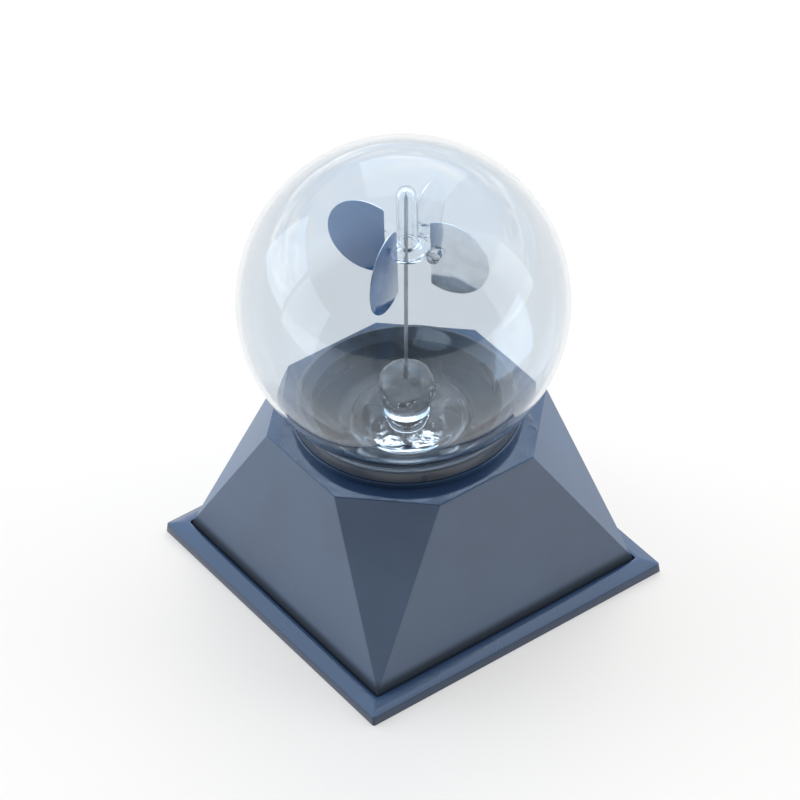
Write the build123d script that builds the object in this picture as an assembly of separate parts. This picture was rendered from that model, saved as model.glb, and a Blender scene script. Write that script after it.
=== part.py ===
"""A light mill: a glass bulb on a facetted base, with four vanes turning on a needle inside it.

Millimetres, +Z up. The origin is the centre of the base's underside.
"""
from build123d import *
from math import asin, degrees, sqrt
import os

# Base plate: a square moulded tray with a bevelled lip
lip_width = 100.0
lip_edge = 2.7
lip_draft = 0.27
lip_bevel = 3.7
lip_height = 4.1
lip_land = 1.1
lip_corner = 0.8
floor_thickness = 2.0

# Base shell: a hollow pyramid with four cut corners and an eight-sided top
foot_gap = 0.75
cut_start = 4.6
shell_height = 51.9
top_margin = 4.2
top_side = 31.4
shell_wall = 2.2
top_wall = 2.6
edge_round = 0.5
skirt_gap = 0.3

# Fixing of the plate to the shell
screw_spacing = 62.0
pad_radius = 4.6
pad_height = 3.0
boss_radius = 3.4
screw_radius = 1.25
screw_length = 9.0
screw_head_radius = 2.6
screw_head_height = 1.6
drive_width = 0.7
drive_depth = 0.8
hole_clearance = 0.25
head_clearance = 0.3
head_recess = 2.2
pilot_clearance = 0.05
pilot_extra = 2.0

# Rim round the hole in the top, and the collar that plugs into it and carries the bulb
seat_contact_radius = 29.9
rim_height = 1.8
rim_wall = 2.6
collar_step = 0.5
collar_height = 3.4
collar_land = 0.9
collar_taper = 0.3
collar_round = 0.4
spigot_depth = 5.2
spigot_clearance = 0.1
seat_width = 2.9
joint_chamfer = 0.25

# Glass bulb
globe_diameter = 90.4
globe_wall = 1.2
seat_clearance = 0.1
tip_root_radius = 3.4
tip_end_radius = 1.3
tip_length = 8.0

# Glass stand inside the bulb, and the needle fused into it
bead_radius = 8.25
bead_height = 13.4
stand_waist_radius = 7.0
stand_fillet = 8.0
needle_radius = 0.55
needle_embed = 5.0
needle_point = 2.4
needle_point_radius = 0.08
needle_lean = 1.6
lean_direction = 54.6

# Glass cap that hangs on the needle, a headroom below the bulb's roof
cap_headroom = 5.5
pivot_gap = 0.1
cap_radius = 2.75
cap_wall = 0.8
cap_dome_wall = 1.25
cap_length = 21.6
flange_radius = 5.6
flange_thickness = 2.4
flare_height = 4.6
flange_round = 0.4

# Vanes and the glass arms that hold them
vane_count = 4
vane_start_angle = 28.4
vane_diameter = 22.9
vane_thickness = 0.2
coat_thickness = 0.06
vane_cut = 6.3
vane_inner = 5.8
vane_level = 1.85
arm_radius = 0.8
arm_root = 0.4
arm_offset = 1.25
knob_radius = 2.1
knob_centre = 8.0
knob_clearance = 0.03
arm_clearance = 0.02

# Places worked out from the sizes above
collar_radius = seat_contact_radius + collar_land + collar_round + collar_taper
rim_radius = collar_radius + collar_step
socket_radius = rim_radius - rim_wall
top_half = rim_radius + top_margin
lip_half = lip_width / 2
plate_inner_half = lip_half - lip_draft - lip_bevel - lip_land
foot_half = plate_inner_half - foot_gap
top_cut = top_side / 2
skirt_level = floor_thickness + skirt_gap
pad_top = floor_thickness + pad_height
rim_top = shell_height + rim_height
collar_top = rim_top + collar_height
globe_radius = globe_diameter / 2
globe_inner_radius = globe_radius - globe_wall
seat_sphere_radius = globe_radius + seat_clearance
globe_centre = collar_top + sqrt(seat_sphere_radius**2 - seat_contact_radius**2)
stand_bottom = globe_centre - globe_inner_radius
bead_centre = stand_bottom + bead_height
needle_bottom = bead_centre + bead_radius - needle_embed
stand_floor_radius = globe_inner_radius - seat_clearance / 2
stand_foot_radius = stand_waist_radius + stand_fillet
fillet_centre = globe_centre - sqrt((stand_floor_radius - stand_fillet)**2 - stand_foot_radius**2)
cap_top = globe_centre + globe_inner_radius - cap_headroom
cap_inner_top = cap_top - cap_dome_wall
needle_top = cap_inner_top - pivot_gap
cap_mouth = cap_top - cap_length
vane_centre_height = cap_mouth + vane_level
vane_centre_reach = vane_inner + vane_cut
on_bottom = (Align.CENTER, Align.CENTER, Align.MIN)


def revolved(*points):
    """Turns a closed outline of (radius, height) points round the Z axis."""
    outline = make_face(Polyline(*points, close=True))
    return revolve(Plane.XZ * outline, Axis.Z)


def disc(radius, height, level):
    """An upright cylinder that stands on the given level."""
    return Pos(0, 0, level) * Cylinder(radius, height, align=on_bottom)


def corners(piece):
    """Four copies of a piece, one at each fixing point of the base."""
    return [place * piece for place in GridLocations(screw_spacing, screw_spacing, 2, 2)]


def base_plate():
    """Square tray: upright edge, bevel, flat land and a recess for the shell's skirt."""
    edge = square_taper(lip_half, lip_half - lip_draft, 0, lip_edge)
    bevel = square_taper(lip_half - lip_draft, lip_half - lip_draft - lip_bevel, lip_edge, lip_height)
    recess = square_taper(plate_inner_half, plate_inner_half, floor_thickness, lip_height)
    plate = edge + bevel - recess
    for pad in corners(disc(pad_radius, pad_height, floor_thickness)):
        plate += pad
    for hole in corners(disc(screw_radius + hole_clearance, pad_top, 0)):
        plate -= hole
    for sink in corners(disc(screw_head_radius + head_clearance, head_recess, 0)):
        plate -= sink
    return plate


def square_taper(low_half, high_half, low, high):
    """A square block whose half width changes from one level to the next."""
    bottom = Plane.XY.offset(low) * RectangleRounded(2 * low_half, 2 * low_half, lip_corner)
    top = Plane.XY.offset(high) * RectangleRounded(2 * high_half, 2 * high_half, lip_corner)
    return loft([bottom, top])


def facetted_body(inset, low, high):
    """The pyramid with four cut corners, every sloping face moved in by inset."""
    body = Pos(0, 0, low) * Box(lip_width, lip_width, high - low, align=on_bottom)
    rise = shell_height - cut_start
    diagonal_foot = foot_half * sqrt(2)
    diagonal_top = (top_half + top_cut) / sqrt(2)
    facets = [(0, foot_half, foot_half - top_half), (45, diagonal_foot, diagonal_foot - diagonal_top)]
    for quarter in range(4):
        for turn, reach, lean in facets:
            normal = Vector(rise, 0, lean).normalized()
            cut = Plane(Vector(reach, 0, cut_start) - normal * inset, x_dir=(0, 1, 0), z_dir=normal)
            turned = Plane(Rot(0, 0, 90 * quarter + turn) * cut.location)
            body = split(body, bisect_by=turned, keep=Keep.BOTTOM)
    return body


def pyramid_shell():
    """Hollow moulding with rounded outer edges, a raised rim and four screw bosses."""
    outer = facetted_body(0, skirt_level, shell_height)
    edges = [edge for edge in outer.edges() if edge.center().Z > cut_start]
    shell = fillet(edges, edge_round)
    rim = disc(rim_radius, top_wall + rim_height, shell_height - top_wall)
    rim_edge = rim.edges().filter_by(GeomType.CIRCLE).sort_by(Axis.Z)[-1]
    shell += chamfer(rim_edge, joint_chamfer)
    shell -= facetted_body(shell_wall, 0, shell_height - top_wall)
    shell -= disc(socket_radius, shell_height, shell_height - top_wall)
    inside = facetted_body(shell_wall / 2, skirt_level, shell_height - top_wall / 2)
    for boss in corners(disc(boss_radius, shell_height, pad_top)):
        shell += boss & inside
    pilot_length = screw_length - (pad_top - head_recess) + pilot_extra
    for pilot in corners(disc(screw_radius + pilot_clearance, pilot_length, pad_top)):
        shell -= pilot
    return shell


def base_screws():
    """Four self-tapping screws with cross slots, sunk in the plate's underside."""
    head_low = head_recess - screw_head_height
    head = disc(screw_head_radius, screw_head_height, head_low)
    shank = disc(screw_radius, screw_length, head_recess)
    slot = Box(drive_width, 2 * screw_head_radius, 2 * drive_depth)
    cross = Box(2 * screw_head_radius, drive_width, 2 * drive_depth)
    recess = (slot + cross) & disc(0.7 * screw_head_radius, drive_depth, 0)
    screw = head + shank - Pos(0, 0, head_low) * recess
    return Compound(children=corners(screw))


def seat_collar():
    """Ring that plugs into the shell's rim and carries the bulb on a spherical seat."""
    outer = collar_radius
    spigot = socket_radius - spigot_clearance
    bore = seat_contact_radius - seat_width
    ring = revolved(
        (bore, rim_top - spigot_depth),
        (spigot, rim_top - spigot_depth),
        (spigot, rim_top),
        (outer - joint_chamfer, rim_top),
        (outer, rim_top + joint_chamfer),
        (outer - collar_taper, collar_top - collar_round),
        (outer - collar_taper - collar_round, collar_top),
        (bore, collar_top),
    )
    return ring - Pos(0, 0, globe_centre) * Sphere(seat_sphere_radius)


def glass_globe():
    """Sealed hollow bulb with its exhaust tip under the south pole."""
    south = globe_centre - globe_radius
    inside_wall = south + globe_wall / 2
    tip = revolved(
        (0, inside_wall),
        (tip_root_radius, inside_wall),
        (tip_root_radius, south - tip_length / 8),
        (tip_end_radius, south - tip_length / 2),
        (tip_end_radius, south - tip_length + tip_end_radius),
        (0, south - tip_length + tip_end_radius),
    )
    tip += Pos(0, 0, south - tip_length + tip_end_radius) * Sphere(tip_end_radius)
    bulb = Pos(0, 0, globe_centre) * Sphere(globe_radius) + tip
    return bulb - Pos(0, 0, globe_centre) * Sphere(globe_inner_radius)


def needle_stand():
    """Glass bead on a foot that flares out into the bulb's floor, bored for the needle."""
    foot_low = stand_bottom - globe_wall
    foot_edge = fillet_centre - stand_fillet
    with BuildSketch(Plane.XZ) as section:
        with BuildLine():
            Polyline(
                (stand_waist_radius, fillet_centre), (0, fillet_centre), (0, foot_low),
                (stand_foot_radius, foot_low), (stand_foot_radius, foot_edge),
            )
            CenterArc((stand_foot_radius, fillet_centre), stand_fillet, 180, 90)
        make_face()
    stand = revolve(section.sketch, Axis.Z)
    stand += Pos(0, 0, bead_centre) * Sphere(bead_radius)
    stand &= Pos(0, 0, globe_centre) * Sphere(stand_floor_radius)
    return stand - leaning(disc(needle_radius, needle_embed + bead_radius, needle_bottom))


def leaning(piece):
    """Tilts an upright piece about the needle's foot, as the needle stands in its bead."""
    tilt = degrees(asin(needle_lean / (needle_top - needle_bottom)))
    foot = Pos(0, 0, needle_bottom)
    turn = Rot(0, 0, lean_direction)
    return foot * turn * Rot(0, tilt, 0) * turn.inverse() * foot.inverse() * piece


def needle():
    """Steel needle with a sharp point, which leans a little."""
    shoulder = needle_top - needle_point
    upright = revolved(
        (0, needle_bottom),
        (needle_radius, needle_bottom),
        (needle_radius, shoulder),
        (needle_point_radius, needle_top),
        (0, needle_top),
    )
    return leaning(upright)


def cap_form(radius, top, mouth_radius, mouth, flare):
    """A domed tube that flares out at its mouth, as a solid."""
    dome = top - radius
    with BuildSketch(Plane.XZ) as section:
        with BuildLine():
            Polyline((0, top), (0, mouth), (mouth_radius, mouth), (mouth_radius, mouth + flange_thickness))
            EllipticalCenterArc(
                (mouth_radius, mouth + flare), mouth_radius - radius, flare - flange_thickness,
                start_angle=180,
            )
            Line((radius, mouth + flare), (radius, dome))
            CenterArc((0, dome), radius, 0, 90)
        make_face()
    return revolve(section.sketch, Axis.Z)


def rotor_cap():
    """Clear glass cap: closed dome, bore for the needle and a flared foot."""
    outside = cap_form(cap_radius, cap_top, flange_radius, cap_mouth, flare_height)
    rims = outside.edges().filter_by(GeomType.CIRCLE).group_by(SortBy.RADIUS)[-1]
    outside = fillet(rims, flange_round)
    bore = cap_radius - cap_wall
    cavity = cap_form(
        bore, cap_inner_top, flange_radius - 2 * cap_wall, cap_mouth - flange_thickness, flare_height
    )
    return outside - cavity


def vane_disc(low, high):
    """A round plate cut by a chord, between two offsets from the vane's middle plane."""
    plate = Cylinder(vane_diameter / 2, high - low, rotation=(90, 0, 0))
    plate = Pos(vane_centre_reach, (low + high) / 2, vane_centre_height) * plate
    keep = Pos(vane_inner, 0, vane_centre_height) * Box(
        vane_diameter, vane_diameter, vane_diameter, align=(Align.MIN, Align.CENTER, Align.CENTER)
    )
    return plate & keep


def vane():
    """Mica vane on the +X side."""
    return vane_disc(-vane_thickness / 2, vane_thickness / 2)


def vane_coat():
    """Dark coat on the vane's counter-clockwise face."""
    return vane_disc(vane_thickness / 2, vane_thickness / 2 + coat_thickness)


def arm():
    """Glass arm beside the vane's plane, with a knob whose flat carries the vane's bare face."""
    root = flange_radius - arm_root
    face = -vane_thickness / 2 - knob_clearance
    rod = Pos(root, -arm_offset, 0) * Cylinder(
        arm_radius, knob_centre - root, rotation=(0, 90, 0),
        align=(Align.CENTER, Align.CENTER, Align.MIN),
    )
    grip = rod + Pos(knob_centre, -arm_offset, 0) * Sphere(knob_radius)
    beyond = Pos(knob_centre, face, 0) * Box(
        4 * knob_radius, 2 * knob_radius, 4 * knob_radius, align=(Align.CENTER, Align.MIN, Align.CENTER)
    )
    grip = Pos(0, 0, vane_centre_height) * (grip - beyond)
    return grip - disc(flange_radius + arm_clearance, cap_length, cap_mouth)


def write(shape, node):
    """Writes one node's solid to its own STEP file."""
    export_step(shape, f"parts/{node}.step")


os.makedirs("parts", exist_ok=True)
write(base_plate(), "base_plate")
write(base_screws(), "base_screws")
write(pyramid_shell(), "pyramid_shell")
write(seat_collar(), "seat_collar")
write(glass_globe(), "glass_globe")
write(needle_stand(), "needle_stand")
write(needle(), "needle")
hang = Rot(0, 0, lean_direction) * Pos(needle_lean, 0, 0) * Rot(0, 0, -lean_direction)
write(hang * rotor_cap(), "rotor_cap")
arm_piece = arm()
vane_piece = vane()
coat_piece = vane_coat()
for index in range(vane_count):
    turn = hang * Rot(0, 0, vane_start_angle + 360 / vane_count * index)
    write(turn * arm_piece, f"arm_{index + 1}")
    write(turn * vane_piece, f"vane_{index + 1}")
    write(turn * coat_piece, f"vane_coat_{index + 1}")
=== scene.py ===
from math import acos, asin, atan2, cos, hypot, pi, radians, sin, sqrt

import bpy
from bpy.props import FloatProperty, FloatVectorProperty, IntProperty, PointerProperty
from mathutils import Matrix, Vector


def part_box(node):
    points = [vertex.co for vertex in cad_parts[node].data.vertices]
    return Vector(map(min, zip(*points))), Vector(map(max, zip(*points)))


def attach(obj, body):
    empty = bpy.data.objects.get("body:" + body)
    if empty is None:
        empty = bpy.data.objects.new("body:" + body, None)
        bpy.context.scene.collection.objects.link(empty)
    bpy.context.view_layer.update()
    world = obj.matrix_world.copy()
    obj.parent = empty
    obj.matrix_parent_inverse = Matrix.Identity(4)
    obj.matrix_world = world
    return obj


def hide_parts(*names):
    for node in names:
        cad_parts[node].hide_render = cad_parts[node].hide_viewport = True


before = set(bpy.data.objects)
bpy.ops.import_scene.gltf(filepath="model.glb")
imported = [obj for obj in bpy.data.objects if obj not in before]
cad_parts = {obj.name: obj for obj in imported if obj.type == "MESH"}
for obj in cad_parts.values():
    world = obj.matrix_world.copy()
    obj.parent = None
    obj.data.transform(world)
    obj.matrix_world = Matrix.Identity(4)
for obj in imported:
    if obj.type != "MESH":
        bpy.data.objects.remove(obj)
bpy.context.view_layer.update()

bl_info = {
    "name": "Light Mill",
    "version": (1, 0, 0),
    "blender": (4, 5, 0),
    "location": "3D View > Sidebar > Light Mill",
    "description": "A glass light mill on a facetted base, built round its packed frame",
    "category": "Object",
}

MM = 0.001
WELD = 0.0005 * MM
WHITE = (1.0, 1.0, 1.0, 1.0)

# Faces of a node that meet at less than COPLANAR are one flat face, and edges over SHARP are softened.
COPLANAR = radians(0.4)
SHARP = radians(25)


class BodySizes(bpy.types.PropertyGroup):
    """Sizes of the moulded base that only the looks need."""

    edge_bevel: FloatProperty(
        name="Edge Bevel", description="Softening of the tray's moulded edges",
        default=0.22 * MM, unit="LENGTH",
    )
    smooth_angle: FloatProperty(
        name="Smooth Angle", description="Edges flatter than this are shaded smooth",
        default=radians(32), subtype="ANGLE",
    )


class GlassSizes(bpy.types.PropertyGroup):
    """Sizes of the blown and fused glass."""

    bulb_wall: FloatProperty(
        name="Bulb Wall", description="Thickness of the blown bulb",
        default=1.2 * MM, unit="LENGTH",
    )
    tip_root: FloatProperty(
        name="Tip Root", description="Radius of the exhaust tip where it leaves the bulb",
        default=3.4 * MM, unit="LENGTH",
    )
    tip_end: FloatProperty(
        name="Tip End", description="Radius of the sealed end of the exhaust tip",
        default=1.3 * MM, unit="LENGTH",
    )
    bead_radius: FloatProperty(
        name="Bead Radius", description="Radius of the glass bead that holds the needle",
        default=8.25 * MM, unit="LENGTH",
    )
    bead_waist: FloatProperty(
        name="Bead Waist", description="Radius of the neck under the bead",
        default=6.2 * MM, unit="LENGTH",
    )
    neck_fillet: FloatProperty(
        name="Neck Fillet", description="Fillet between the bead's neck and its mound",
        default=1.2 * MM, unit="LENGTH",
    )
    mound_height: FloatProperty(
        name="Mound Height",
        description="Height of the glass mound under the bead, over the bulb's floor",
        default=5.0 * MM, unit="LENGTH",
    )
    mound_reach: FloatProperty(
        name="Mound Reach", description="Radius at which the mound runs out into the bulb's floor",
        default=19.0 * MM, unit="LENGTH",
    )
    cap_radius: FloatProperty(
        name="Cap Radius", description="Outer radius of the cap's tube",
        default=2.75 * MM, unit="LENGTH",
    )
    cap_wall: FloatProperty(
        name="Cap Wall", description="Wall of the cap's tube",
        default=0.8 * MM, unit="LENGTH",
    )
    cap_dome: FloatProperty(
        name="Cap Dome", description="Thickness of glass over the needle's point",
        default=1.25 * MM, unit="LENGTH",
    )
    arm_radius: FloatProperty(
        name="Arm Radius", description="Radius of the glass arms",
        default=0.8 * MM, unit="LENGTH",
    )
    knob_radius: FloatProperty(
        name="Knob Radius", description="Radius of the knobs that carry the vanes",
        default=2.1 * MM, unit="LENGTH",
    )
    knob_reach: FloatProperty(
        name="Knob Reach", description="Distance from the axis to the middle of a knob",
        default=8.0 * MM, unit="LENGTH",
    )
    arm_offset: FloatProperty(
        name="Arm Offset", description="How far an arm runs beside its vane's plane",
        default=1.25 * MM, unit="LENGTH",
    )
    turns: IntProperty(
        name="Segments", description="Steps round the bulb", default=144, min=48, max=256,
    )


class VaneSizes(bpy.types.PropertyGroup):
    """Sizes of the needle and the vanes."""

    needle_radius: FloatProperty(
        name="Needle Radius", description="Radius of the needle's wire",
        default=0.55 * MM, unit="LENGTH",
    )
    needle_point: FloatProperty(
        name="Needle Point", description="Length of the ground point",
        default=2.4 * MM, unit="LENGTH",
    )
    vane_gap: FloatProperty(
        name="Hub Gap", description="Distance from the axis to the straight cut of a vane",
        default=6.7 * MM, unit="LENGTH",
    )
    vane_edge: FloatProperty(
        name="Vane Edge", description="Softening of the split mica's edge",
        default=0.03 * MM, unit="LENGTH",
    )
    mica_thickness: FloatProperty(
        name="Mica Thickness", description="Thickness of a vane's sheet",
        default=0.2 * MM, unit="LENGTH",
    )
    lacquer_film: FloatProperty(
        name="Lacquer Film", description="Thickness of the dark lacquer",
        default=0.06 * MM, unit="LENGTH",
    )
    film_edge: FloatProperty(
        name="Film Edge", description="Softening of the lacquer's edge",
        default=0.01 * MM, unit="LENGTH",
    )
    knob_gap: FloatProperty(
        name="Knob Gap", description="Gap between a vane and the flat of its knob",
        default=0.03 * MM, unit="LENGTH",
    )
    sides: IntProperty(
        name="Sides", description="Sides of a vane's round edge", default=120, min=32, max=256,
    )


class FinishColours(bpy.types.PropertyGroup):
    """Colours of the finishes."""

    gloss_base: FloatVectorProperty(
        name="Gloss Plastic", description="Polished dark plastic of the tray and the top",
        default=(0.03, 0.058, 0.118), subtype="COLOR", size=3, min=0, max=1,
    )
    shell: FloatVectorProperty(
        name="Textured Plastic", description="Finely textured plastic of the facets",
        default=(0.112, 0.146, 0.205), subtype="COLOR", size=3, min=0, max=1,
    )
    collar: FloatVectorProperty(
        name="Collar Plastic", description="Satin plastic of the collar",
        default=(0.085, 0.095, 0.115), subtype="COLOR", size=3, min=0, max=1,
    )
    glass: FloatVectorProperty(
        name="Bulb Glass", description="Tint of the bulb's glass at each surface",
        default=(0.785, 0.825, 0.86), subtype="COLOR", size=3, min=0, max=1,
    )
    clear_glass: FloatVectorProperty(
        name="Clear Glass", description="Tint of the bead, the cap and the arms",
        default=(0.975, 0.988, 1.0), subtype="COLOR", size=3, min=0, max=1,
    )
    mica: FloatVectorProperty(
        name="Mica", description="Pearly face of the vanes",
        default=(0.93, 0.93, 0.93), subtype="COLOR", size=3, min=0, max=1,
    )
    lacquer: FloatVectorProperty(
        name="Lacquer", description="Dark face of the vanes",
        default=(0.012, 0.105, 0.29), subtype="COLOR", size=3, min=0, max=1,
    )
    steel: FloatVectorProperty(
        name="Steel", description="Drawn wire of the needle and the screws",
        default=(0.42, 0.42, 0.44), subtype="COLOR", size=3, min=0, max=1,
    )


class StageSettings(bpy.types.PropertyGroup):
    """Where the camera stands, and how bright the room is."""

    azimuth: FloatProperty(
        name="Azimuth", description="Turn of the camera round the mill",
        default=radians(54.623), subtype="ANGLE",
    )
    elevation: FloatProperty(
        name="Elevation", description="Height of the camera over the table, as an angle",
        default=radians(40.759), subtype="ANGLE",
    )
    roll: FloatProperty(
        name="Roll", description="Tilt of the picture", default=radians(-1.874), subtype="ANGLE",
    )
    distance: FloatProperty(
        name="Distance", description="From the camera to the point that it looks at",
        default=1.2142, unit="LENGTH",
    )
    look_height: FloatProperty(
        name="Look Height", description="Height of the point that the camera looks at",
        default=58.194 * MM, unit="LENGTH",
    )
    lens: FloatProperty(
        name="Lens", description="Focal length in millimetres", default=199.61,
    )
    shift_x: FloatProperty(
        name="Shift X", description="Sideways shift of the lens", default=-0.0081,
    )
    shift_y: FloatProperty(
        name="Shift Y", description="Upward shift of the lens", default=-0.0072,
    )
    floor_glow: FloatProperty(
        name="Floor Glow", description="Light added to the floor where it is seen",
        default=0.45, min=0, max=1,
    )
    sky_strength: FloatProperty(
        name="Sky Strength", description="Brightness of the sky", default=2.3, min=0, max=5,
    )
    sky: FloatVectorProperty(
        name="Sky", description="High sky behind the mill",
        default=(0.60, 0.78, 1.0), subtype="COLOR", size=3, min=0, max=1,
    )
    haze: FloatVectorProperty(
        name="Haze", description="Low sky behind the mill",
        default=(0.42, 0.47, 0.53), subtype="COLOR", size=3, min=0, max=1,
    )
    cloud: FloatVectorProperty(
        name="Cloud", description="Thin clouds over the horizon",
        default=(1.0, 0.95, 0.88), subtype="COLOR", size=3, min=0, max=1,
    )
    room: FloatVectorProperty(
        name="Room", description="Dim side of the room, behind the camera",
        default=(0.10, 0.115, 0.13), subtype="COLOR", size=3, min=0, max=1,
    )


def select_nothing():
    """Leaves edit mode with nothing selected, so that the next operator acts on its own piece."""
    if bpy.context.mode != "OBJECT":
        bpy.ops.object.mode_set(mode="OBJECT")
    bpy.ops.object.select_all(action="DESELECT")


def pick(piece):
    """Makes one object selected and active."""
    select_nothing()
    piece.select_set(True)
    bpy.context.view_layer.objects.active = piece


def named(name):
    """Gives the active object and its mesh their name."""
    piece = bpy.context.object
    piece.name = name
    piece.data.name = name
    return piece


def settle(piece):
    """Puts an object's place and turn into its mesh."""
    pick(piece)
    bpy.ops.object.transform_apply(location=True, rotation=True, scale=True)


def finish_with(piece, kind, **settings):
    """Adds a modifier with these settings and applies it."""
    pick(piece)
    bpy.ops.object.modifier_add(type=kind)
    modifier = piece.modifiers[-1]
    for setting, value in settings.items():
        setattr(modifier, setting, value)
    bpy.ops.object.modifier_apply(modifier=modifier.name)


def place(piece, node, body, slot, *materials):
    """Gives a finished piece its materials and seats it on its body in place of a node."""
    for material in materials:
        piece.data.materials.append(material)
    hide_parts(node)
    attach(piece, body)


def turned(name, profile, steps):
    """Draws a profile of (radius, height) from point to point and spins it round the Z axis."""
    select_nothing()
    bpy.ops.mesh.primitive_plane_add(size=MM)
    piece = named(name)
    bpy.ops.object.mode_set(mode="EDIT")
    bpy.ops.mesh.merge(type="CENTER")
    radius, height = profile[0]
    bpy.ops.transform.translate(value=(radius, 0, height))
    for after in profile[1:]:
        step = (after[0] - radius, 0, after[1] - height)
        bpy.ops.mesh.extrude_region_move(TRANSFORM_OT_translate={"value": step})
        radius, height = after
    bpy.ops.mesh.select_all(action="SELECT")
    bpy.ops.mesh.spin(steps=steps, angle=2 * pi, center=(0, 0, 0), axis=(0, 0, 1))
    bpy.ops.mesh.select_all(action="SELECT")
    bpy.ops.mesh.remove_doubles(threshold=WELD)
    bpy.ops.mesh.normals_make_consistent(inside=False)
    bpy.ops.object.mode_set(mode="OBJECT")
    return piece


def hub():
    """The place of the rotor's axis, from the cap's box."""
    lowest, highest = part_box("rotor_cap")
    return Vector(((lowest.x + highest.x) / 2, (lowest.y + highest.y) / 2, 0))


def bulb_sphere():
    """The middle height and the outer radius of the bulb."""
    lowest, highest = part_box("glass_globe")
    radius = (highest.x - lowest.x) / 2
    return highest.z - radius, radius


def bezier(corners, steps):
    """Points of a cubic curve with these four corners, after its first point."""
    points = []
    for step in range(1, steps + 1):
        part = step / steps
        shares = ((1 - part) ** 3, 3 * part * (1 - part) ** 2, 3 * part**2 * (1 - part), part**3)
        points.append(tuple(sum(s * c[axis] for s, c in zip(shares, corners)) for axis in (0, 1)))
    return points


def arc(centre, radii, start, end, steps):
    """Points of an elliptical arc in the (radius, height) plane, both ends included."""
    points = []
    for step in range(steps + 1):
        angle = start + (end - start) * step / steps
        points.append((centre[0] + radii[0] * cos(angle), centre[1] + radii[1] * sin(angle)))
    return points


def on_axis(points):
    """The same profile, with its ends moved exactly onto the axis."""
    return [(0.0, points[0][1])] + points[1:-1] + [(0.0, points[-1][1])]


def smooth(piece, angle=None):
    """Shades a piece smooth all over, or only across edges flatter than the angle."""
    pick(piece)
    if angle is None:
        bpy.ops.object.shade_smooth()
    else:
        bpy.ops.object.shade_smooth_by_angle(angle=angle)


def inside_out(piece):
    """Turns a piece's faces round, for the inner wall of a hollow."""
    pick(piece)
    bpy.ops.object.mode_set(mode="EDIT")
    bpy.ops.mesh.select_all(action="SELECT")
    bpy.ops.mesh.flip_normals()
    bpy.ops.object.mode_set(mode="OBJECT")


def lumpy_surface(piece, name, size, depth, middle, group=""):
    """Raises soft lumps all over a piece, or as far as its vertex group says."""
    lumps = bpy.data.textures.new(name, "CLOUDS")
    lumps.noise_scale = size
    finish_with(
        piece, "DISPLACE", texture=lumps, texture_coords="LOCAL", strength=depth,
        mid_level=middle, vertex_group=group,
    )


def join(piece, *others):
    """Joins the others into the piece."""
    pick(piece)
    for other in others:
        other.select_set(True)
    bpy.ops.object.join()
    return piece


def dressed(name, label, bevel, angle):
    """A welded copy of a node's faces with its sharp edges softened."""
    piece = bpy.data.objects.new(name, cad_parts[label].data.copy())
    piece.data.name = name
    piece.data.materials.clear()
    bpy.context.scene.collection.objects.link(piece)
    pick(piece)
    bpy.ops.mesh.customdata_custom_splitnormals_clear()
    bpy.ops.object.mode_set(mode="EDIT")
    bpy.ops.mesh.select_all(action="SELECT")
    bpy.ops.mesh.remove_doubles(threshold=WELD)
    bpy.ops.mesh.dissolve_limited(angle_limit=COPLANAR)
    bpy.ops.object.mode_set(mode="OBJECT")
    if bevel:
        finish_with(
            piece, "BEVEL", width=bevel, segments=3, limit_method="ANGLE", angle_limit=SHARP,
            use_clamp_overlap=True, harden_normals=False,
        )
    smooth(piece, angle)
    return piece


def new_group(name, inputs, outputs):
    """A shader node group and its two end nodes. An input whose default is None is a vector."""
    group = bpy.data.node_groups.new(name, "ShaderNodeTree")
    for label, default in inputs.items():
        kind = "NodeSocketVector" if default is None else "NodeSocketFloat"
        socket = group.interface.new_socket(name=label, in_out="INPUT", socket_type=kind)
        if default is not None:
            socket.default_value = default
    for label in outputs:
        group.interface.new_socket(name=label, in_out="OUTPUT", socket_type="NodeSocketFloat")
    start = group.nodes.new("NodeGroupInput")
    end = group.nodes.new("NodeGroupOutput")
    return group, start, end


def wire(tree, *pairs):
    """Links each (output, input) pair."""
    for source, target in pairs:
        tree.links.new(source, target)


def set_inputs(made, **values):
    """Sets a node's inputs by name, with _ for a space."""
    for key, value in values.items():
        made.inputs[key.replace("_", " ")].default_value = value


def node(tree, kind, **values):
    """A node whose properties and inputs are set by name."""
    made = tree.nodes.new(kind)
    for key, value in values.items():
        if hasattr(made, key):
            setattr(made, key, value)
        else:
            set_inputs(made, **{key: value})
    return made


def maths(tree, operation, first, second):
    """A math node on two sockets or numbers. None leaves its input for a later link."""
    made = node(tree, "ShaderNodeMath", operation=operation)
    for index, value in enumerate((first, second)):
        if isinstance(value, (int, float)):
            made.inputs[index].default_value = value
        elif value is not None:
            tree.links.new(value, made.inputs[index])
    return made.outputs[0]


def ranged(tree, value, low, high, start=0.0, end=1.0, kind="LINEAR"):
    """A value mapped from low..high to start..end."""
    made = node(tree, "ShaderNodeMapRange", interpolation_type=kind)
    tree.links.new(value, made.inputs["Value"])
    set_inputs(made, From_Min=low, From_Max=high, To_Min=start, To_Max=end)
    return made.outputs["Result"]


def mixed_colour(tree, mask, first, second):
    """A colour between two, by a mask."""
    made = node(tree, "ShaderNodeMix", data_type="RGBA")
    wire(tree, (mask, made.inputs["Factor"]))
    for label, colour in (("A", first), ("B", second)):
        socket = next(s for s in made.inputs if s.name == label and s.type == "RGBA")
        if isinstance(colour, bpy.types.NodeSocket):
            tree.links.new(colour, socket)
        else:
            socket.default_value = (*colour[:3], 1.0)
    return next(s for s in made.outputs if s.type == "RGBA")


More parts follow.
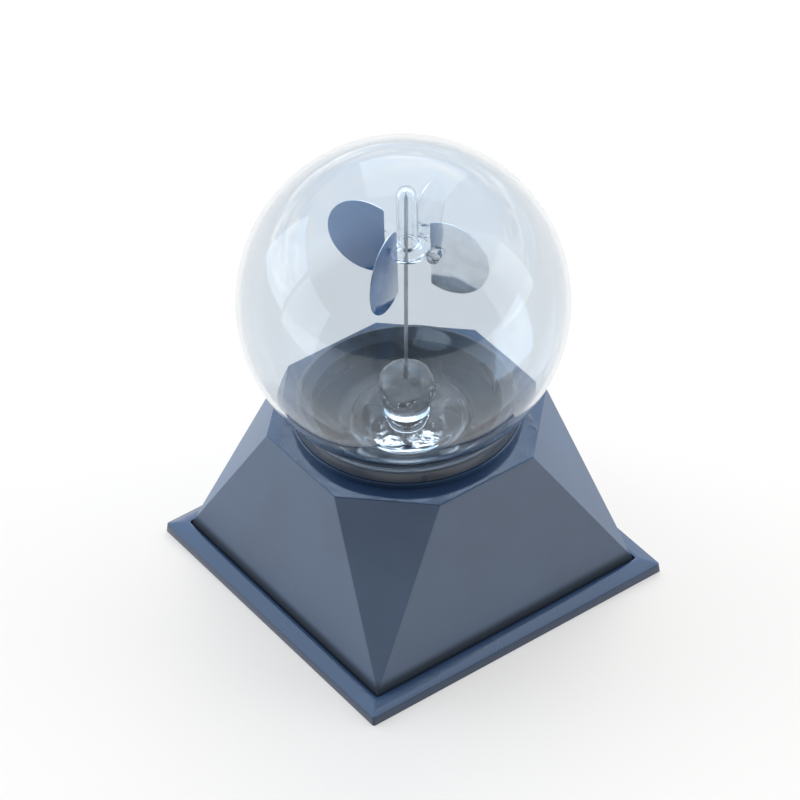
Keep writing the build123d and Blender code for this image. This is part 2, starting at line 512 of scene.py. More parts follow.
def specks_group():
    """Small round specks spread thinly, as dust on plastic or seeds in glass."""
    group, start, end = new_group(
        "specks", {"Place": None, "Scale": 400.0, "Size": 0.06, "Share": 0.1}, ["Mask"]
    )
    cells = node(group, "ShaderNodeTexVoronoi", feature="F1")
    chance = maths(group, "LESS_THAN", None, start.outputs["Share"])
    round_spot = maths(group, "LESS_THAN", cells.outputs["Distance"], start.outputs["Size"])
    split = node(group, "ShaderNodeSeparateColor")
    wire(
        group,
        (start.outputs["Place"], cells.inputs["Vector"]),
        (start.outputs["Scale"], cells.inputs["Scale"]),
        (cells.outputs["Color"], split.inputs["Color"]),
        (split.outputs["Red"], chance.node.inputs[0]),
        (maths(group, "MULTIPLY", chance, round_spot), end.inputs["Mask"]),
    )
    return group


def grain_group():
    """Fine even texture of a mould, as a height."""
    group, start, end = new_group(
        "mould_grain", {"Place": None, "Scale": 2600.0, "Blotch": 60.0}, ["Height", "Blotches"]
    )
    fine = node(group, "ShaderNodeTexNoise", Detail=2.0, Roughness=0.6)
    broad = node(group, "ShaderNodeTexNoise", Detail=3.0, Roughness=0.55)
    wire(
        group,
        (start.outputs["Place"], fine.inputs["Vector"]),
        (start.outputs["Scale"], fine.inputs["Scale"]),
        (start.outputs["Place"], broad.inputs["Vector"]),
        (start.outputs["Blotch"], broad.inputs["Scale"]),
        (fine.outputs["Fac"], end.inputs["Height"]),
        (broad.outputs["Fac"], end.inputs["Blotches"]),
    )
    return group


def scuffs_group():
    """Thin long scuffs that run in uneven directions, as a mask."""
    group, start, end = new_group("scuffs", {"Place": None, "Scale": 90.0, "Share": 0.02}, ["Mask"])
    bend = node(group, "ShaderNodeTexNoise", Scale=25.0, Detail=1.0)
    shifted = node(group, "ShaderNodeVectorMath", operation="MULTIPLY_ADD")
    shifted.inputs[1].default_value = (0.02, 0.02, 0.02)
    lines = node(group, "ShaderNodeTexVoronoi", feature="DISTANCE_TO_EDGE")
    patches = node(group, "ShaderNodeTexNoise", Scale=70.0, Detail=2.0)
    thin = maths(group, "LESS_THAN", lines.outputs["Distance"], start.outputs["Share"])
    some = maths(group, "GREATER_THAN", patches.outputs["Fac"], 0.58)
    wire(
        group,
        (start.outputs["Place"], bend.inputs["Vector"]),
        (bend.outputs["Color"], shifted.inputs[0]),
        (start.outputs["Place"], shifted.inputs[2]),
        (shifted.outputs[0], lines.inputs["Vector"]),
        (start.outputs["Scale"], lines.inputs["Scale"]),
        (start.outputs["Place"], patches.inputs["Vector"]),
        (maths(group, "MULTIPLY", thin, some), end.inputs["Mask"]),
    )
    return group


SHARED_GROUPS = {"specks": specks_group, "mould_grain": grain_group, "scuffs": scuffs_group}


def use(tree, name, where, **values):
    """Puts a shared group into a material with its own values. Its first use builds it."""
    made = tree.nodes.new("ShaderNodeGroup")
    made.node_tree = bpy.data.node_groups.get(name) or SHARED_GROUPS[name]()
    tree.links.new(where, made.inputs["Place"])
    set_inputs(made, **values)
    return made


def new_material(name):
    """A material with its Principled shader, and the piece's own coordinates."""
    material = bpy.data.materials.new(name)
    material.use_nodes = True
    tree = material.node_tree
    shader = tree.nodes["Principled BSDF"]
    where = tree.nodes.new("ShaderNodeTexCoord").outputs["Object"]
    return material, tree, shader, where


def bumped(tree, shader, height, strength, depth):
    """Feeds a height to the shader's normal."""
    bump = node(tree, "ShaderNodeBump", Strength=strength, Distance=depth)
    wire(tree, (height, bump.inputs["Height"]), (bump.outputs["Normal"], shader.inputs["Normal"]))


def coloured(tree, shader, shade, rough):
    """Feeds a colour and a roughness to the shader."""
    wire(tree, (shade, shader.inputs["Base Color"]), (rough, shader.inputs["Roughness"]))


def scaled(colour, factor):
    """A colour made paler or darker, with white as its limit."""
    return tuple(min(1.0, factor * part) for part in colour)


def surface_marks(tree, where, dust, scuffs):
    """The mask of dust and scuffs together, each with its own values."""
    groups = use(tree, "specks", where, **dust), use(tree, "scuffs", where, **scuffs)
    return maths(tree, "MAXIMUM", *(group.outputs["Mask"] for group in groups))


def gloss_plastic(name, colour, roughness, coat):
    """Polished dark plastic with faint smudges, dust and scuffs."""
    material, tree, shader, where = new_material(name)
    grain = use(tree, "mould_grain", where, Scale=900.0, Blotch=45.0)
    marks = surface_marks(
        tree, where, dust={"Scale": 420.0, "Size": 0.07, "Share": 0.05},
        scuffs={"Scale": 110.0, "Share": 0.002},
    )
    pale = tuple(min(1.0, 0.05 + 2.2 * part) for part in colour)
    shade = mixed_colour(tree, maths(tree, "MULTIPLY", marks, 0.3), colour, pale)
    smudge = ranged(tree, grain.outputs["Blotches"], 0.35, 0.7, roughness, roughness + 0.07)
    coloured(tree, shader, shade, maths(tree, "ADD", smudge, maths(tree, "MULTIPLY", marks, 0.2)))
    bumped(tree, shader, grain.outputs["Height"], strength=0.05, depth=0.01 * MM)
    set_inputs(shader, IOR=1.5, Coat_Weight=coat, Coat_IOR=1.5, Coat_Roughness=0.04)
    return material


def textured_plastic(name, colour, foot_level):
    """Finely textured dark plastic, with painted shade that darkens it towards the foot of each facet.
    """
    material, tree, shader, where = new_material(name)
    painted_shade_height = 3.2 * MM
    grain = use(tree, "mould_grain", where, Scale=2600.0, Blotch=38.0)
    marks = surface_marks(
        tree, where, dust={"Scale": 300.0, "Size": 0.055, "Share": 0.05},
        scuffs={"Scale": 70.0, "Share": 0.0015},
    )
    split = node(tree, "ShaderNodeSeparateXYZ")
    wire(tree, (where, split.inputs[0]))
    # Painted shade: a mask that is full at the foot level and fades out a few millimetres higher up.
    foot = ranged(tree, split.outputs["Z"], foot_level, foot_level + painted_shade_height, 1.0, 0.0, "SMOOTHSTEP")
    blotch = ranged(tree, grain.outputs["Blotches"], 0.3, 0.7)
    shade = mixed_colour(tree, blotch, colour, scaled(colour, 1.22))
    # Painted shade: the facets' colour darkens to a quarter of itself by that mask, at their foot.
    shade = mixed_colour(tree, foot, shade, scaled(colour, 0.25))
    shade = mixed_colour(tree, maths(tree, "MULTIPLY", marks, 0.35), shade, (0.25, 0.28, 0.32))
    rough = ranged(tree, grain.outputs["Blotches"], 0.3, 0.7, 0.36, 0.46)
    coloured(tree, shader, shade, maths(tree, "ADD", rough, maths(tree, "MULTIPLY", foot, 0.25)))
    bumped(tree, shader, grain.outputs["Height"], strength=0.25, depth=0.02 * MM)
    set_inputs(shader, IOR=1.52)
    return material


def drawn_steel(name, colour, along_z):
    """Drawn wire, with fine lines along its length where that is the Z axis."""
    material, tree, shader, where = new_material(name)
    stretch = node(tree, "ShaderNodeMapping", Scale=(1.0, 1.0, 0.04 if along_z else 1.0))
    lines = node(tree, "ShaderNodeTexNoise", Scale=5200.0, Detail=2.0)
    wire(tree, (where, stretch.inputs["Vector"]), (stretch.outputs[0], lines.inputs["Vector"]))
    bright = ranged(tree, lines.outputs["Fac"], 0.35, 0.65)
    shade = mixed_colour(tree, bright, scaled(colour, 0.8), scaled(colour, 1.25))
    coloured(tree, shader, shade, ranged(tree, lines.outputs["Fac"], 0.3, 0.7, 0.26, 0.4))
    bumped(tree, shader, lines.outputs["Fac"], strength=0.2, depth=0.01 * MM)
    set_inputs(shader, Metallic=0.9)
    return material


def glass(name, tint, height, strength, depth):
    """Clear glass whose shadow lets light through. height builds the surface's waviness."""
    material, tree, shader, where = new_material(name)
    set_inputs(shader, Base_Color=(*tint, 1.0), Transmission_Weight=1.0, IOR=1.47, Roughness=0.0)
    bumped(tree, shader, height(tree, where), strength, depth)
    clear = node(tree, "ShaderNodeBsdfTransparent", Color=(*scaled(tint, 0.9), 1.0))
    path = node(tree, "ShaderNodeLightPath")
    both = node(tree, "ShaderNodeMixShader")
    wire(
        tree,
        (path.outputs["Is Shadow Ray"], both.inputs["Fac"]),
        (shader.outputs[0], both.inputs[1]),
        (clear.outputs[0], both.inputs[2]),
        (both.outputs[0], tree.nodes["Material Output"].inputs["Surface"]),
    )
    return material


def blown_height(centre, radius):
    """Height of blown glass: soft waves, seeds, and ripples round the fused foot at the pole."""

    def build(tree, where):
        waves = node(tree, "ShaderNodeTexNoise", Scale=28.0, Detail=2.0, Roughness=0.5)
        seeds = use(tree, "specks", where, Scale=260.0, Size=0.09, Share=0.05)
        split = node(tree, "ShaderNodeSeparateXYZ")
        wire(tree, (where, waves.inputs["Vector"]), (where, split.inputs[0]))
        low = ranged(tree, split.outputs["Z"], centre - 0.84 * radius, centre - 0.97 * radius)
        spin = maths(tree, "ARCTAN2", split.outputs["Y"], split.outputs["X"])
        ribs = node(tree, "ShaderNodeTexNoise", Scale=3.0, Detail=3.0, Roughness=0.6)
        around = node(tree, "ShaderNodeCombineXYZ")
        wire(
            tree,
            (maths(tree, "MULTIPLY", spin, 2.5), around.inputs["X"]),
            (maths(tree, "MULTIPLY", split.outputs["Z"], 90.0), around.inputs["Y"]),
            (around.outputs[0], ribs.inputs["Vector"]),
        )
        ripples = maths(tree, "MULTIPLY", maths(tree, "MULTIPLY", ribs.outputs["Fac"], low), 0.6)
        dots = maths(tree, "MULTIPLY", seeds.outputs["Mask"], maths(tree, "MULTIPLY", low, 0.5))
        return maths(
            tree, "ADD", maths(tree, "MULTIPLY", waves.outputs["Fac"], 0.35),
            maths(tree, "ADD", ripples, dots),
        )

    return build


def worked_height(tree, where):
    """Height of lamp-worked glass: small soft lumps."""
    lumps = node(tree, "ShaderNodeTexNoise", Scale=420.0, Detail=2.0, Roughness=0.5)
    tree.links.new(where, lumps.inputs["Vector"])
    return lumps.outputs["Fac"]


def split_mica(name, colour):
    """Pearly split mica with faint cleavage steps."""
    material, tree, shader, where = new_material(name)
    haze = node(tree, "ShaderNodeTexNoise", Scale=160.0, Detail=4.0, Roughness=0.6)
    wire(tree, (where, haze.inputs["Vector"]))
    clouded = ranged(tree, haze.outputs["Fac"], 0.35, 0.65)
    shade = mixed_colour(tree, clouded, scaled(colour, 0.93), scaled(colour, 1.04))
    coloured(tree, shader, shade, ranged(tree, haze.outputs["Fac"], 0.3, 0.7, 0.05, 0.12))
    bumped(tree, shader, haze.outputs["Fac"], strength=0.06, depth=0.01 * MM)
    set_inputs(shader, Metallic=0.75, IOR=1.58)
    return material


def dark_lacquer(name, colour):
    """Smooth dark lacquer with a few pale specks."""
    material, tree, shader, where = new_material(name)
    flow = node(tree, "ShaderNodeTexNoise", Scale=90.0, Detail=3.0, Roughness=0.6)
    dust = use(tree, "specks", where, Scale=330.0, Size=0.1, Share=0.04)
    wire(tree, (where, flow.inputs["Vector"]))
    run = ranged(tree, flow.outputs["Fac"], 0.3, 0.7)
    shade = mixed_colour(tree, run, scaled(colour, 0.9), scaled(colour, 1.15))
    shade = mixed_colour(tree, dust.outputs["Mask"], shade, (0.3, 0.38, 0.46))
    coloured(tree, shader, shade, ranged(tree, flow.outputs["Fac"], 0.3, 0.7, 0.07, 0.13))
    bumped(tree, shader, flow.outputs["Fac"], strength=0.03, depth=0.01 * MM)
    set_inputs(shader, IOR=1.6, Coat_Weight=1.0, Coat_IOR=1.6)
    return material


def kept(maker, name, **values):
    """A material made once and used again by the pieces that share it."""
    return bpy.data.materials.get(name) or maker(name, **values)


def polished_plastic(context):
    """The plastic that the tray and the shell's top share."""
    colour = context.scene.mill_colours.gloss_base
    return kept(gloss_plastic, "gloss_plastic", colour=colour, roughness=0.09, coat=0.4)


def worked_glass(context):
    """The clear glass that the bead, the cap and the arms share."""
    tint = context.scene.mill_colours.clear_glass
    return kept(
        glass, "worked_glass", tint=tint, height=worked_height, strength=0.12, depth=0.05 * MM
    )


class LIGHTMILL_OT_tray(bpy.types.Operator):
    """Dress the square tray and its screws"""

    bl_idname = "light_mill.tray"
    bl_label = "Tray and Screws"

    def execute(self, context):
        sizes = context.scene.mill_body
        tray = dressed("gloss_tray", "base_plate", sizes.edge_bevel, sizes.smooth_angle)
        place(tray, "base_plate", "base", "gloss_base", polished_plastic(context))
        colour = context.scene.mill_colours.steel
        steel = kept(drawn_steel, "plated_steel", colour=colour, along_z=False)
        screws = dressed("tray_screws", "base_screws", 0.0, sizes.smooth_angle)
        place(screws, "base_screws", "base", "screw_steel", steel)
        return {"FINISHED"}


class LIGHTMILL_OT_shell(bpy.types.Operator):
    """Dress the facetted shell: textured facets and a polished top"""

    bl_idname = "light_mill.shell"
    bl_label = "Facetted Shell"

    def execute(self, context):
        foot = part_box("base_plate")[1].z
        colour = context.scene.mill_colours.shell
        matte = kept(textured_plastic, "textured_plastic", colour=colour, foot_level=foot)
        angle = context.scene.mill_body.smooth_angle
        shell = dressed("facetted_shell", "pyramid_shell", 0.0, angle)
        place(shell, "pyramid_shell", "base", "shell_plastic", matte, polished_plastic(context))
        polished_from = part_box("pyramid_shell")[1].z - 2.0 * MM
        looks_down = -0.5
        for face in shell.data.polygons:
            if face.center.z > polished_from and face.normal.z > looks_down:
                face.material_index = 1
        return {"FINISHED"}


class LIGHTMILL_OT_collar(bpy.types.Operator):
    """Dress the collar that carries the bulb"""

    bl_idname = "light_mill.collar"
    bl_label = "Bulb Collar"

    def execute(self, context):
        colour = context.scene.mill_colours.collar
        satin = kept(gloss_plastic, "satin_plastic", colour=colour, roughness=0.26, coat=0.3)
        angle = context.scene.mill_body.smooth_angle
        collar = dressed("bulb_collar", "seat_collar", 0.0, angle)
        place(collar, "seat_collar", "base", "collar_plastic", satin)
        return {"FINISHED"}


class LIGHTMILL_OT_bulb(bpy.types.Operator):
    """Blow the bulb: an outer wall with its sealed tip, and an inner wall"""

    bl_idname = "light_mill.bulb"
    bl_label = "Glass Bulb"

    def execute(self, context):
        sizes = context.scene.mill_glass
        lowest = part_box("glass_globe")[0].z
        centre, radius = bulb_sphere()
        inner = radius - sizes.bulb_wall
        rings = sizes.turns // 2
        meet = asin(sizes.tip_root / radius)
        root_length = 0.4 * MM
        taper_end = lowest + 0.55 * (centre - radius - lowest)
        wall = arc((0, centre), (radius, radius), pi / 2, meet - pi / 2, rings)
        taper = [
            (sizes.tip_root, centre - radius * cos(meet) - root_length),
            ((sizes.tip_root + sizes.tip_end) / 2, (centre - radius + taper_end) / 2),
            (sizes.tip_end, taper_end),
        ]
        end = arc((0, lowest + sizes.tip_end), (sizes.tip_end, sizes.tip_end), 0, -pi / 2, 6)
        outer = turned("glass_bulb", on_axis(wall + taper + end), sizes.turns)
        open_foot = asin(sizes.mound_reach / inner) - pi / 2
        hollow = arc((0, centre), (inner, inner), pi / 2, open_foot, rings)
        cavity = turned("cavity", [(0.0, hollow[0][1])] + hollow[1:], sizes.turns)
        inside_out(cavity)
        bulb = join(outer, cavity)
        smooth(bulb)
        blown = kept(
            glass, "blown_glass", tint=context.scene.mill_colours.glass,
            height=blown_height(centre, radius), strength=0.05, depth=0.1 * MM,
        )
        place(bulb, "glass_globe", "base", "globe_glass", blown)
        return {"FINISHED"}


class LIGHTMILL_OT_bead(bpy.types.Operator):
    """Form the bead that holds the needle, on a mound that runs out into the bulb's floor"""

    bl_idname = "light_mill.bead"
    bl_label = "Glass Bead"

    def execute(self, context):
        sizes = context.scene.mill_glass
        needle_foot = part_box("needle")[0].z
        bore = context.scene.mill_vanes.needle_radius
        ball, waist, out = sizes.bead_radius, sizes.bead_waist, sizes.mound_reach
        fillet = sizes.neck_fillet
        bead_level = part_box("needle_stand")[1].z - ball
        centre, radius = bulb_sphere()
        inner = radius - sizes.bulb_wall
        from_bore, to_waist = pi / 2 - asin(bore / ball), -acos(waist / ball)
        dome = arc((0, bead_level), (ball, ball), from_bore, to_waist, 30)
        mound_level = centre - inner + sizes.mound_height
        neck = arc((waist + fillet, mound_level + fillet), (fillet, fillet), pi, 1.45 * pi, 8)
        drop = sqrt(inner**2 - out**2)
        edge = (out, centre - drop)
        lead = 4.0 * MM
        neck_slope, floor_slope = 0.2, out / drop
        after_neck = (neck[-1][0] + lead, neck[-1][1] - neck_slope * lead)
        before_edge = (out - lead, edge[1] - floor_slope * lead)
        run = bezier((neck[-1], after_neck, before_edge, edge), 20)
        profile = [(0.0, needle_foot), (bore, needle_foot)] + dome + neck + run
        stand = turned("needle_bead", profile, sizes.turns)
        lumpy = stand.vertex_groups.new(name="lumpy")
        for corner in stand.data.vertices:
            rise = (corner.co.z - mound_level) / (bead_level - mound_level)
            lumpy.add([corner.index], max(0.0, min(1.0, rise)), "REPLACE")
        lumpy_surface(stand, "bead_lumps", size=4.5 * MM, depth=0.6 * MM, middle=0.6, group="lumpy")
        smooth(stand)
        place(stand, "needle_stand", "base", "stand_glass", worked_glass(context))
        return {"FINISHED"}


class LIGHTMILL_OT_needle(bpy.types.Operator):
    """Draw the steel needle and grind its point"""

    bl_idname = "light_mill.needle"
    bl_label = "Needle"

    def execute(self, context):
        sizes = context.scene.mill_vanes
        lowest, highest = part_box("needle")
        foot = Vector((0, 0, lowest.z))
        length = highest.z - lowest.z
        shoulder = length - sizes.needle_point
        radius = sizes.needle_radius
        tip = 0.08 * MM
        profile = [
            (0.0, 0.0),
            (radius, 0.0),
            (radius, shoulder),
            (0.75 * radius, shoulder + 0.3 * sizes.needle_point),
            (tip, length - tip),
            (0.0, length),
        ]
        needle = turned("balance_needle", profile, steps=32)
        aim = Vector((hub().x, hub().y, highest.z)) - foot
        needle.rotation_euler = aim.to_track_quat("Z", "Y").to_euler()
        needle.location = foot
        settle(needle)
        smooth(needle, radians(40))
        colour = context.scene.mill_colours.steel
        steel = kept(drawn_steel, "drawn_wire", colour=colour, along_z=True)
        place(needle, "needle", "base", "needle_steel", steel)
        return {"FINISHED"}


class LIGHTMILL_OT_cap(bpy.types.Operator):
    """Form the domed glass cap that balances on the needle"""

    bl_idname = "light_mill.cap"
    bl_label = "Glass Cap"

    def execute(self, context):
        sizes = context.scene.mill_glass
        lowest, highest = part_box("rotor_cap")
        tube = sizes.cap_radius
        bore = tube - sizes.cap_wall
        flange = (highest.x - lowest.x) / 2
        lip = lowest.z + 2.4 * MM
        rim_level = lip - 0.5 * MM
        neck = lowest.z + 4.6 * MM
        inside_neck = lowest.z + 2.2 * MM
        inside_roof = highest.z - sizes.cap_dome - bore
        upper, lower = 0.7 * MM, 0.8 * MM
        inside_mouth = flange - 2 * lower
        dome = arc((0, highest.z - tube), (tube, tube), pi / 2, 0, 14)
        sweep = arc((flange, neck), (flange - tube, neck - lip), pi, 1.4 * pi, 8)
        rim = arc((flange - upper, rim_level), (upper, upper), pi / 3, -pi / 3, 6)
        mouth = arc((flange - lower, lowest.z + lower), (lower, lower), 0, -pi / 2, 6)
        flare = (inside_mouth - bore, inside_neck - lowest.z)
        hollow = arc((inside_mouth, inside_neck), flare, -pi / 2, -pi, 8)
        roof = arc((0, inside_roof), (bore, bore), 0, pi / 2, 10)
        profile = on_axis(dome + sweep + rim + mouth + hollow + roof)
        cap = turned("spinner_cap", profile, steps=64)
        cap.location = hub()
        settle(cap)
        smooth(cap)
        place(cap, "rotor_cap", "rotor", "rotor_glass", worked_glass(context))
        return {"FINISHED"}


def vane_turns():
    """Each vane's number with its turn round the rotor's axis, from its box."""
    found = []
    for label in sorted(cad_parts):
        if label.startswith("vane_") and not label.startswith("vane_coat"):
            lowest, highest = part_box(label)
            middle = (lowest + highest) / 2 - hub()
            found.append((label[-1], atan2(middle.y, middle.x)))
    return found


def vane_span():
    """The middle height and the radius of the vanes, from the first one's box."""
    lowest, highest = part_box("vane_1")
    return (lowest.z + highest.z) / 2, (highest.z - lowest.z) / 2


def spun(piece, name, angle):
    """A copy of a piece with its own mesh, turned to its place round the rotor's axis."""
    pick(piece)
    bpy.ops.object.duplicate()
    copy = named(name)
    copy.rotation_euler = (0, 0, angle)
    copy.location = hub()
    settle(copy)
    return copy


class LIGHTMILL_OT_arms(bpy.types.Operator):
    """Form the glass arms, each with a knob whose flat carries a vane"""

    bl_idname = "light_mill.arms"
    bl_label = "Glass Arms"

    def execute(self, context):
        sizes = context.scene.mill_glass
        vanes = context.scene.mill_vanes
        lowest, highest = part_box("rotor_cap")
        sunk = 0.1 * MM
        root = (highest.x - lowest.x) / 2 - sunk
        ball = sizes.knob_radius
        meet = asin(sizes.arm_radius / ball) - pi / 2
        knob = arc((0, sizes.knob_reach), (ball, ball), meet, pi / 2, 14)
        profile = on_axis([(0.0, root), (sizes.arm_radius, root)] + knob)
        first = turned("arm_blank", profile, steps=24)
        first.rotation_euler = (0, pi / 2, 0)
        first.location = (0, -sizes.arm_offset, vane_span()[0])
        settle(first)
        lumpy_surface(first, "knob_lumps", size=1.6 * MM, depth=0.4 * MM, middle=0.9)
        self.flatten(first, -(vanes.mica_thickness / 2 + vanes.knob_gap))
        for mark, angle in vane_turns():
            arm = spun(first, f"spinner_arm_{mark}", angle)
            smooth(arm, radians(45))
            place(arm, f"arm_{mark}", "rotor", "rotor_glass", worked_glass(context))
        bpy.data.objects.remove(first)
        return {"FINISHED"}

    def flatten(self, piece, face):
        """Cuts the knob flat where the vane lies against it."""
        pick(piece)
        bpy.ops.object.mode_set(mode="EDIT")
        bpy.ops.mesh.select_all(action="SELECT")
        bpy.ops.mesh.bisect(
            plane_co=(0, face, 0), plane_no=(0, 1, 0), clear_outer=True, use_fill=True
        )
        bpy.ops.object.mode_set(mode="OBJECT")


def vane_blank(name, sizes, low, high, edge):
    """A round sheet with a straight cut at the hub, between two offsets from its middle plane."""
    level, radius = vane_span()
    axis = hub()
    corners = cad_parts["vane_1"].data.vertices
    reach = max(hypot(*(corner.co - axis).xy) for corner in corners) - radius
    select_nothing()
    bpy.ops.mesh.primitive_circle_add(
        vertices=sizes.sides, radius=radius, fill_type="NGON", location=(reach, low, level),
        rotation=(pi / 2, 0, 0),
    )
    piece = named(name)
    settle(piece)
    bpy.ops.object.mode_set(mode="EDIT")
    bpy.ops.mesh.select_all(action="SELECT")
    bpy.ops.mesh.bisect(plane_co=(sizes.vane_gap, 0, 0), plane_no=(1, 0, 0), clear_inner=True)
    bpy.ops.mesh.select_all(action="SELECT")
    bpy.ops.mesh.extrude_region_move(TRANSFORM_OT_translate={"value": (0, high - low, 0)})
    bpy.ops.mesh.select_all(action="SELECT")
    bpy.ops.mesh.normals_make_consistent(inside=False)
    bpy.ops.object.mode_set(mode="OBJECT")
    finish_with(
        piece, "BEVEL", width=edge, segments=2, limit_method="ANGLE", angle_limit=radians(40),
    )
    smooth(piece, radians(30))
    return piece


class LIGHTMILL_OT_vanes(bpy.types.Operator):
    """Split the mica vanes and lay the dark lacquer on one face of each"""

    bl_idname = "light_mill.vanes"
    bl_label = "Vanes"

    def execute(self, context):
        sizes = context.scene.mill_vanes
        colours = context.scene.mill_colours
        pearly = kept(split_mica, "split_mica", colour=colours.mica)
        dark = kept(dark_lacquer, "dark_lacquer", colour=colours.lacquer)
        half = sizes.mica_thickness / 2
        outside = half + sizes.lacquer_film
        sheet = vane_blank("sheet_blank", sizes, low=-half, high=half, edge=sizes.vane_edge)
        coat = vane_blank("coat_blank", sizes, low=half, high=outside, edge=sizes.film_edge)
        for mark, angle in vane_turns():
            mica = spun(sheet, f"mica_vane_{mark}", angle)
            place(mica, f"vane_{mark}", "rotor", "mica", pearly)
            lacquer = spun(coat, f"lacquer_{mark}", angle)
            place(lacquer, f"vane_coat_{mark}", "rotor", "dark_coat", dark)
        bpy.data.objects.remove(sheet)
        bpy.data.objects.remove(coat)
        return {"FINISHED"}


def pale_floor(name, glow):
    """Pale floor that is white where it is seen and still holds a shadow."""
    material, tree, shader, where = new_material(name)
    grain = node(tree, "ShaderNodeTexNoise", Scale=6.0, Detail=2.0)
    wire(tree, (where, grain.inputs["Vector"]))
    shade = mixed_colour(tree, grain.outputs["Fac"], (0.49, 0.415, 0.35), (0.51, 0.43, 0.365))
    path = node(tree, "ShaderNodeLightPath")
    seen = maths(tree, "MAXIMUM", path.outputs["Is Camera Ray"], path.outputs["Is Glossy Ray"])
    seen = maths(tree, "MAXIMUM", seen, path.outputs["Is Transmission Ray"])
    set_inputs(shader, Emission_Color=WHITE, Roughness=0.9, Specular_IOR_Level=0.0)
    wire(
        tree,
        (shade, shader.inputs["Base Color"]),
        (maths(tree, "MULTIPLY", seen, glow), shader.inputs["Emission Strength"]),
    )
    return material


def soft_sky(settings):
    """A sky that is pale behind the mill and dim behind the camera, and white where it is seen."""
    world = bpy.data.worlds.new("soft_sky")
    bpy.context.scene.world = world
    world.use_nodes = True
    tree = world.node_tree
    back = tree.nodes["Background"]
    way = node(tree, "ShaderNodeTexCoord").outputs["Generated"]
    split = node(tree, "ShaderNodeSeparateXYZ")
    toward = node(tree, "ShaderNodeVectorMath", operation="DOT_PRODUCT")
    toward.inputs[1].default_value = (sin(settings.azimuth), -cos(settings.azimuth), 0.0)
    flat = node(tree, "ShaderNodeMapping", Scale=(1.0, 1.0, 4.5))
    wisps = node(tree, "ShaderNodeTexNoise", Scale=2.3, Detail=6.0, Roughness=0.62, Distortion=0.7)
    wire(
        tree,
        (way, split.inputs[0]), (way, toward.inputs[0]), (way, flat.inputs["Vector"]),
        (flat.outputs[0], wisps.inputs["Vector"]),
    )
    dim = ranged(tree, toward.outputs["Value"], -0.25, 0.35, 0.0, 1.0, "SMOOTHSTEP")
    high = ranged(tree, split.outputs["Z"], 0.1, 0.6, 0.0, 1.0, "SMOOTHSTEP")
    low = ranged(tree, split.outputs["Z"], 0.35, 0.75, 1.0, 0.25, "SMOOTHSTEP")
    thin = ranged(tree, wisps.outputs["Fac"], 0.47, 0.66, 0.0, 1.0, "SMOOTHSTEP")
    shade = mixed_colour(tree, high, settings.haze, settings.sky)
    shade = mixed_colour(tree, maths(tree, "MULTIPLY", thin, low), shade, settings.cloud)
    shade = mixed_colour(tree, dim, shade, settings.room)
    seen = node(tree, "ShaderNodeLightPath").outputs["Is Camera Ray"]
    wire(
        tree,
        (mixed_colour(tree, seen, shade, WHITE), back.inputs["Color"]),
        (ranged(tree, seen, 0.0, 1.0, settings.sky_strength, 1.0), back.inputs["Strength"]),
    )


def lamp(name, size, power, where, colour):
    """A soft square lamp that looks at the middle of the mill and isn't mirrored in it."""
    select_nothing()
    bpy.ops.object.light_add(type="AREA", location=where)
    light = named(name)
    light.data.shape = "SQUARE"
    light.data.size = size
    light.data.energy = power
    light.data.color = colour
    light.visible_glossy = False
    middle = Vector((0, 0, 60.0 * MM))
    light.rotation_euler = (middle - Vector(where)).to_track_quat("-Z", "Y").to_euler()


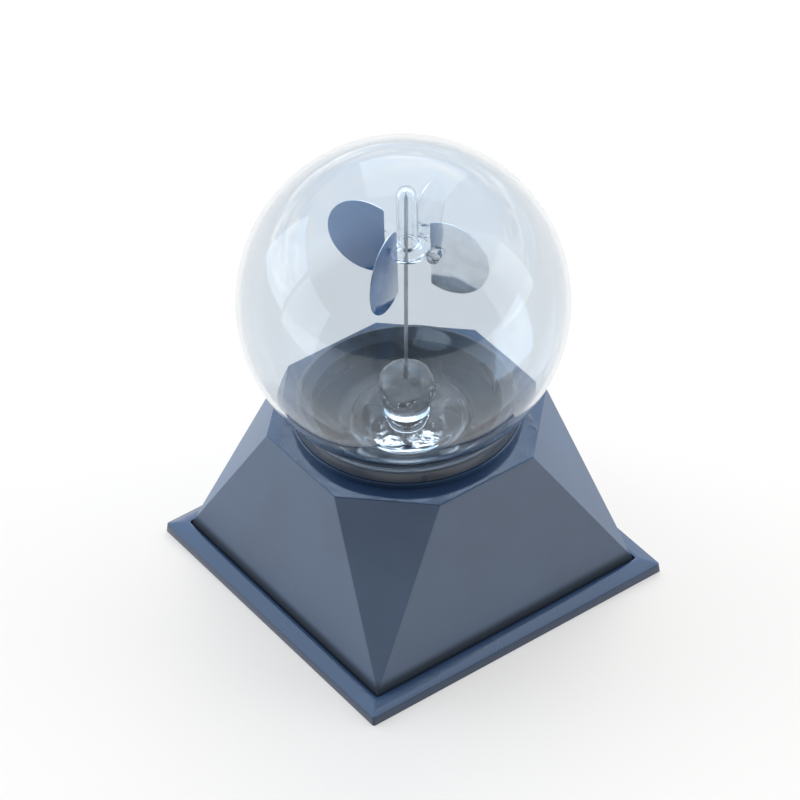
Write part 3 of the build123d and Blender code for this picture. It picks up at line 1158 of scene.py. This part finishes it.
class LIGHTMILL_OT_stage(bpy.types.Operator):
    """Set the camera, the floor, the lamps and the room"""

    bl_idname = "light_mill.stage"
    bl_label = "Stage"

    def execute(self, context):
        settings = context.scene.mill_stage
        self.set_camera(context, settings)
        floor_width, floor_gap = 12.0, 0.1 * MM
        select_nothing()
        bpy.ops.mesh.primitive_plane_add(size=floor_width, location=(0, 0, -floor_gap))
        floor = named("pale_floor")
        settle(floor)
        floor.data.materials.append(pale_floor("pale_floor", settings.floor_glow))
        soft_sky(settings)
        lamp("back_lamp", size=1.4, power=10.0, where=(-1.0, 0.9, 1.3), colour=(1.0, 0.98, 0.95))
        lamp("left_lamp", size=1.0, power=9.0, where=(-1.2, -0.9, 0.35), colour=(0.72, 0.86, 1.0))
        lamp("right_lamp", size=1.0, power=7.0, where=(0.95, 1.15, 0.35), colour=(1.0, 0.97, 0.93))
        context.scene.view_settings.view_transform = "Standard"
        light_paths = context.scene.cycles
        light_paths.max_bounces = 24
        light_paths.transmission_bounces = 24
        light_paths.transparent_max_bounces = 24
        light_paths.glossy_bounces = 8
        return {"FINISHED"}

    def set_camera(self, context, settings):
        """Stands the camera at the photograph's place."""
        turn, rise, roll = settings.azimuth, settings.elevation, settings.roll
        back = Vector((sin(turn) * cos(rise), -cos(turn) * cos(rise), sin(rise)))
        right = Vector((cos(turn), sin(turn), 0))
        up = back.cross(right)
        across = right * cos(roll) + up * sin(roll)
        upward = up * cos(roll) - right * sin(roll)
        look = Vector((0, 0, settings.look_height))
        select_nothing()
        bpy.ops.object.camera_add()
        camera = named("photo_camera")
        matrix = Matrix((across, upward, back)).transposed().to_4x4()
        matrix.translation = look + back * settings.distance
        camera.matrix_world = matrix
        camera.data.lens = settings.lens
        camera.data.sensor_width = 36
        camera.data.shift_x = settings.shift_x
        camera.data.shift_y = settings.shift_y
        camera.data.clip_start = 0.05
        camera.data.clip_end = 50
        context.scene.camera = camera


class LIGHTMILL_PT_panel(bpy.types.Panel):
    """Lists the mill's operators, sizes and colours"""

    bl_label = "Light Mill"
    bl_idname = "LIGHTMILL_PT_panel"
    bl_space_type = "VIEW_3D"
    bl_region_type = "UI"
    bl_category = "Light Mill"

    def draw(self, context):
        for operator in OPERATORS:
            self.layout.operator(operator.bl_idname)
        for label in GROUPS:
            group = getattr(context.scene, label)
            box = self.layout.box()
            box.label(text=label.replace("_", " ").title())
            for prop in group.bl_rna.properties:
                if prop.identifier not in ("rna_type", "name"):
                    box.prop(group, prop.identifier)


GROUPS = {
    "mill_body": BodySizes,
    "mill_glass": GlassSizes,
    "mill_vanes": VaneSizes,
    "mill_colours": FinishColours,
    "mill_stage": StageSettings,
}
OPERATORS = (
    LIGHTMILL_OT_stage,
    LIGHTMILL_OT_tray,
    LIGHTMILL_OT_shell,
    LIGHTMILL_OT_collar,
    LIGHTMILL_OT_bulb,
    LIGHTMILL_OT_bead,
    LIGHTMILL_OT_needle,
    LIGHTMILL_OT_cap,
    LIGHTMILL_OT_arms,
    LIGHTMILL_OT_vanes,
)
CLASSES = (*GROUPS.values(), *OPERATORS, LIGHTMILL_PT_panel)


def register():
    """Registers the classes and hangs the property groups on the scene."""
    for kind in CLASSES:
        bpy.utils.register_class(kind)
    for label, group in GROUPS.items():
        setattr(bpy.types.Scene, label, PointerProperty(type=group))


def unregister():
    """Takes away what register made."""
    for label in GROUPS:
        delattr(bpy.types.Scene, label)
    for kind in reversed(CLASSES):
        bpy.utils.unregister_class(kind)


def main():
    """Builds the mill."""
    register()
    for operator in OPERATORS:
        family, action = operator.bl_idname.split(".")
        getattr(getattr(bpy.ops, family), action)()


if __name__ == "__main__":
    main()
